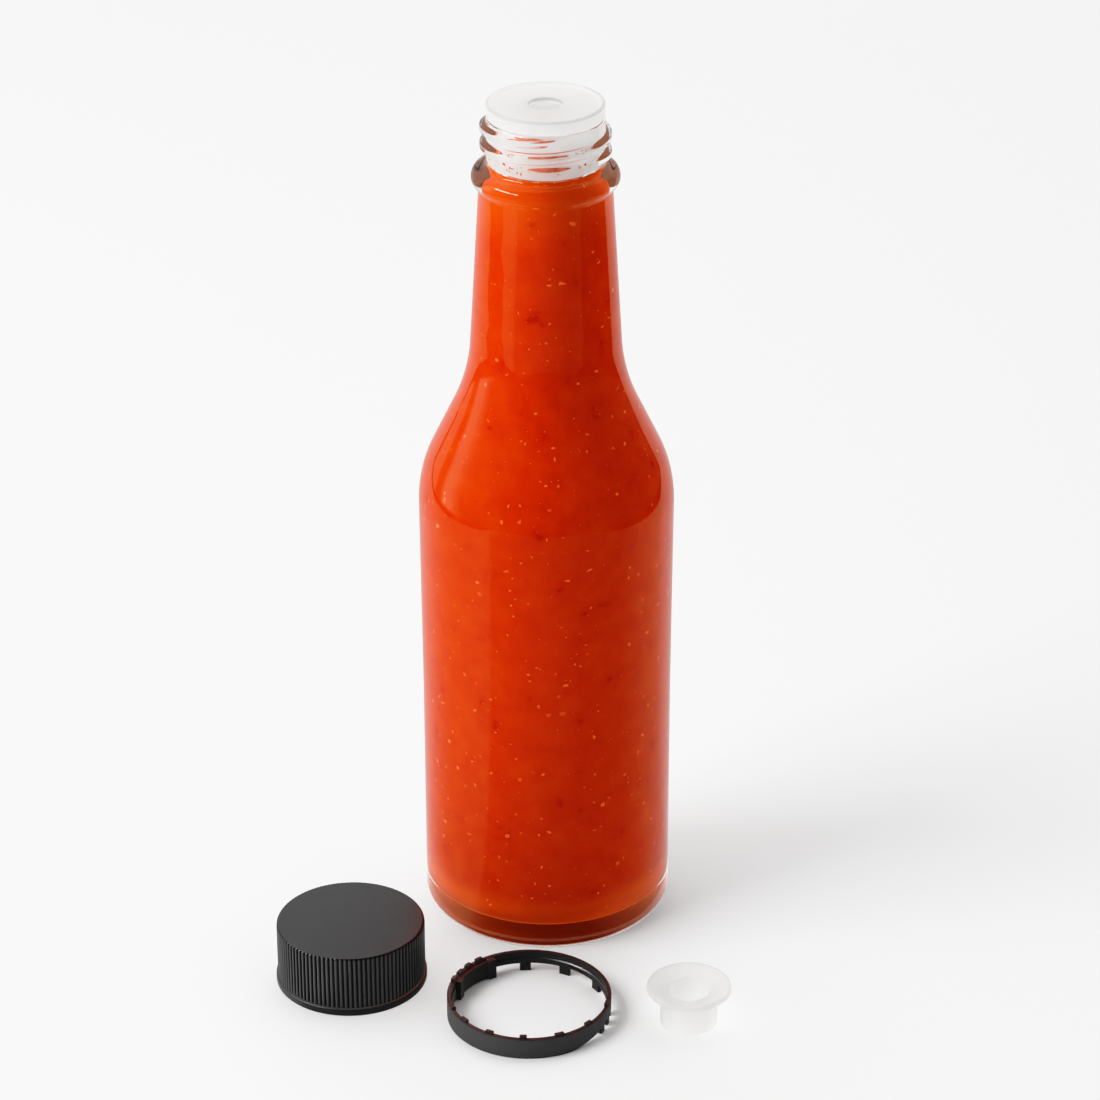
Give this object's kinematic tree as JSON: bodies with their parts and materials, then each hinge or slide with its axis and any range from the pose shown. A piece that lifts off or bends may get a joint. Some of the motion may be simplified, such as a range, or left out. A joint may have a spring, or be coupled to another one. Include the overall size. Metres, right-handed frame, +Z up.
{
  "type": "hot sauce bottle",
  "caption": "Clear glass sauce bottle with long tapered neck and threaded finish, filled with red sauce, with pouring insert, loose screw cap, torn-off tamper ring and spare insert.",
  "frame": {"origin": "on the bottle's axis, level with the surface it stands on, within half a millimetre of the flat middle of its base", "axes": "+Z up along the bottle's axis; +X to the right and +Y to the back as the loose pieces lie in front of the bottle"},
  "size_m": [0.087, 0.0841, 0.1672],
  "materials": {
    "clear_glass": "polished clear flint glass",
    "hot_sauce": "opaque orange-red sauce with fine pale specks",
    "natural_plastic": "milky translucent moulded plastic",
    "black_plastic": "black satin moulded plastic"
  },
  "bodies": {
    "root": {"glass_bottle": "clear_glass", "sauce": "hot_sauce", "fitted_insert": "natural_plastic", "spare_insert": "natural_plastic", "cap": "black_plastic", "tamper_ring": "black_plastic"}
  },
  "joints": []
}
